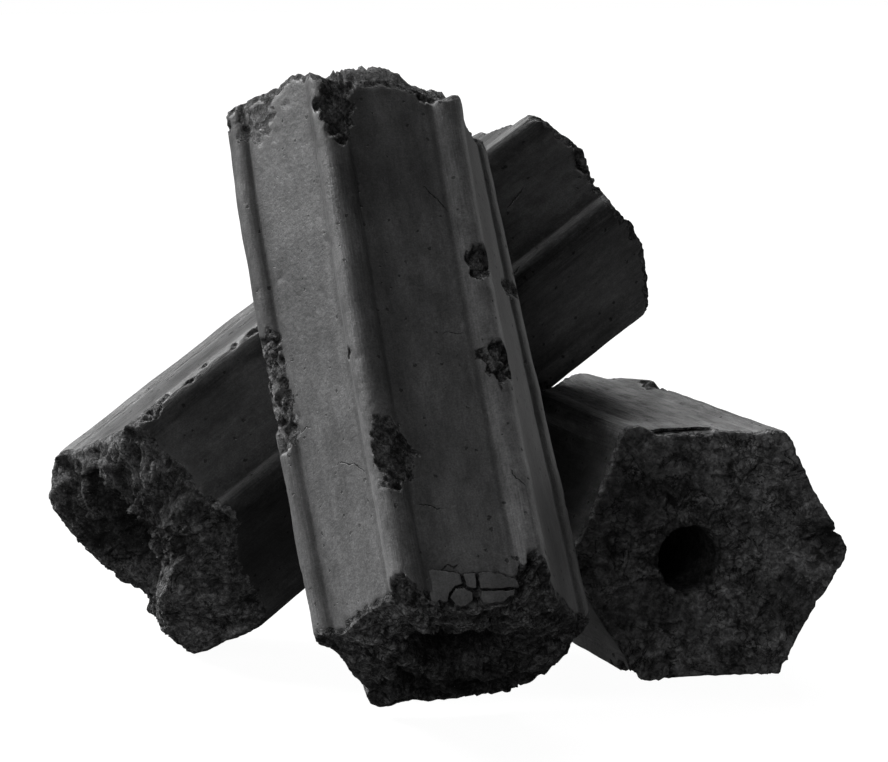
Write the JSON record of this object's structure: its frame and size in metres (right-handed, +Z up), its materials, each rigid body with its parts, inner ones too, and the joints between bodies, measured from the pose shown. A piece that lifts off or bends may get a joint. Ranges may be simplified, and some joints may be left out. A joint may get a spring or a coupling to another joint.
{
  "type": "charcoal stick pile",
  "caption": "Pile of extruded hexagonal charcoal sticks with ribbed corners, a bore down the middle and snapped ends; one lies flat, one crosses over it and one leans in front.",
  "frame": {"origin": "on the ground, under the centre of the pile's box", "axes": "+Z up; +Y along the lying stick's axis, from its near end to its far end; +X to the right of it"},
  "size_m": [0.1338, 0.1282, 0.1143],
  "materials": {
    "charcoal_skin": "satin grey-black carbonised skin, matt black where it is snapped",
    "charcoal_flake": "satin grey-black carbonised skin"
  },
  "bodies": {
    "lying": {"right_stick": "charcoal_skin", "right_flake_rim": "charcoal_flake"},
    "crossing": {"crossing_stick": "charcoal_skin"},
    "leaning": {"front_stick": "charcoal_skin", "front_flake_left": "charcoal_flake", "front_flake_splinter": "charcoal_flake", "front_flake_pebble": "charcoal_flake", "front_flake_upper": "charcoal_flake", "front_flake_lower": "charcoal_flake"}
  },
  "joints": [
    {"name": "crossing_lift", "type": "slide", "parent": "lying", "child": "crossing", "axis": [0, 0, 1], "range_m": [0, 0.15]},
    {"name": "front_lift", "type": "slide", "parent": "crossing", "child": "leaning", "axis": [0, 0, 1], "range_m": [0, 0.15]}
  ]
}
